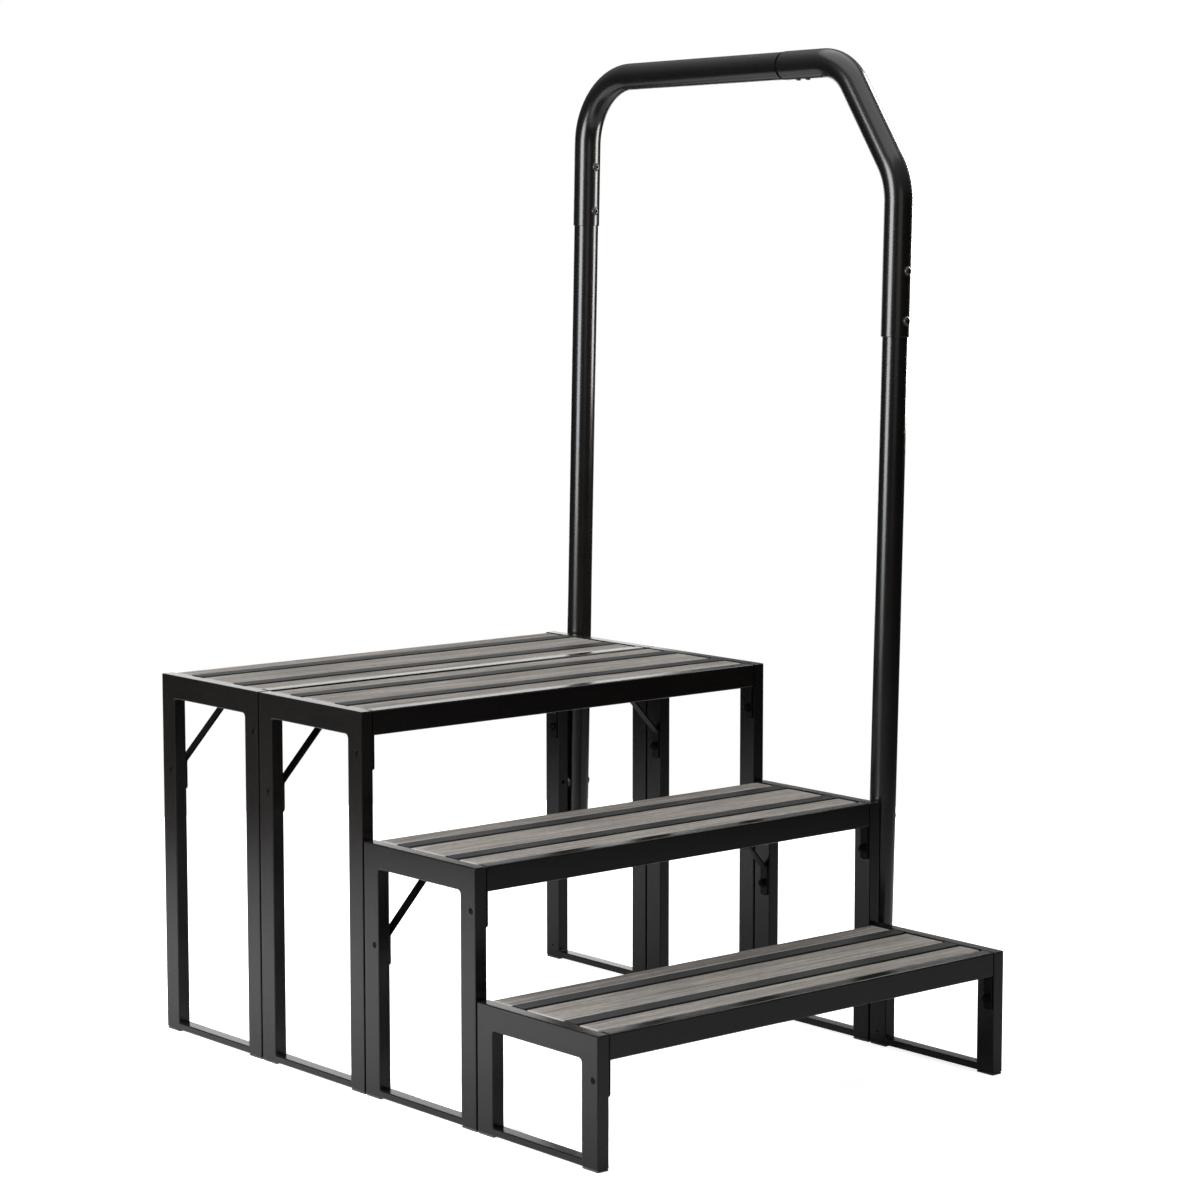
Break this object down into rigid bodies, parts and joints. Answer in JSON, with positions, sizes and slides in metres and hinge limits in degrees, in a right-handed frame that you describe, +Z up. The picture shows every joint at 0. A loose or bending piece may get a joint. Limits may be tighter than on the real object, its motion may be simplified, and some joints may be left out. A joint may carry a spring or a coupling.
{
  "type": "outdoor steps",
  "caption": "Free-standing outdoor steps: steel-framed bench modules with slatted board treads rise to a platform, with a bent tube handrail on the right side.",
  "frame": {"origin": "on the floor at the centre of the bounding box, handrail included", "axes": "+Z up, -Y towards the person at the foot of the steps, +X towards the handrail"},
  "size_m": [0.8134, 0.985, 1.4333],
  "materials": {
    "frame": "satin charcoal black powder coat",
    "tube": "satin black powder coat on round tube",
    "slat": "semi-gloss black powder coat",
    "board": "weathered grey wood-plastic composite with a fine streaky grain"
  },
  "bodies": {
    "root": {"low_step_left_side_frame": "frame", "low_step_right_side_frame": "frame", "low_step_front_rail": "frame", "low_step_rear_rail": "frame", "low_step_front_board": "board", "low_step_middle_board": "board", "low_step_rear_board": "board", "low_step_slats_and_bearers": "slat", "middle_step_left_side_frame": "frame", "middle_step_right_side_frame": "frame", "middle_step_front_rail": "frame", "middle_step_rear_rail": "frame", "middle_step_front_board": "board", "middle_step_middle_board": "board", "middle_step_rear_board": "board", "middle_step_slats_and_bearers": "slat", "middle_step_left_knee_brace": "frame", "middle_step_right_knee_brace": "frame", "platform_front_left_side_frame": "frame", "platform_front_right_side_frame": "frame", "platform_front_front_rail": "frame", "platform_front_rear_rail": "frame", "platform_front_front_board": "board", "platform_front_middle_board": "board", "platform_front_rear_board": "board", "platform_front_slats_and_bearers": "slat", "platform_front_left_knee_brace": "frame", "platform_front_right_knee_brace": "frame", "platform_rear_left_side_frame": "frame", "platform_rear_right_side_frame": "frame", "platform_rear_front_rail": "frame", "platform_rear_rear_rail": "frame", "platform_rear_front_board": "board", "platform_rear_middle_board": "board", "platform_rear_rear_board": "board", "platform_rear_slats_and_bearers": "slat", "platform_rear_left_knee_brace": "frame", "platform_rear_right_knee_brace": "frame", "handrail_front_upper_tube": "tube", "handrail_rear_upper_tube": "tube", "handrail_front_post": "tube", "handrail_rear_post": "tube"}
  },
  "joints": []
}
